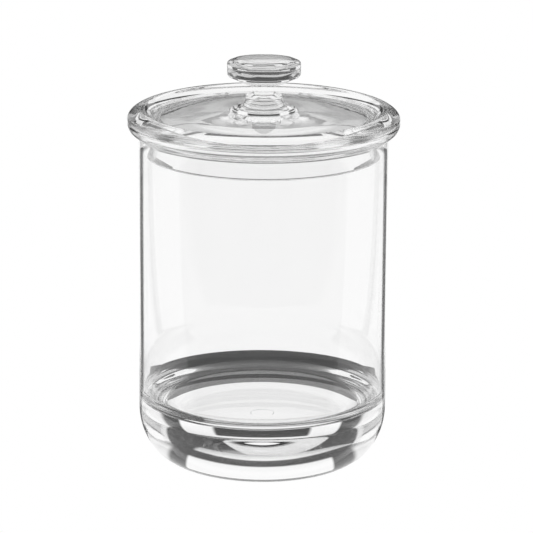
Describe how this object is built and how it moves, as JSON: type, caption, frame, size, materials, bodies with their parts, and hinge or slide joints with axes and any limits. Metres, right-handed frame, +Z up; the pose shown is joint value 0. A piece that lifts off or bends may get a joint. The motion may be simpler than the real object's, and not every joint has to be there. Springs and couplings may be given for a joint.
{
  "type": "apothecary jar",
  "caption": "Clear cylindrical glass jar with a thick rounded base, a flared lip and a drop-in lid with a faceted knob that lifts off.",
  "frame": {"origin": "middle of the jar's underside, on the turning axis", "axes": "+Z up along the turning axis, -Y towards one flat of the six-sided knob, +X to the right of that view"},
  "size_m": [0.1246, 0.1246, 0.1891],
  "materials": {
    "jar_glass": "clear, fire-polished",
    "lid_glass": "clear, fire-polished",
    "knob_glass": "clear, faceted and polished"
  },
  "bodies": {
    "jar": {"jar_body": "jar_glass"},
    "lid": {"lid": "lid_glass", "knob": "knob_glass"}
  },
  "joints": [
    {"name": "lid_lift", "type": "slide", "parent": "jar", "child": "lid", "axis": [0, 0, 1], "range_m": [0, 0.05]}
  ]
}
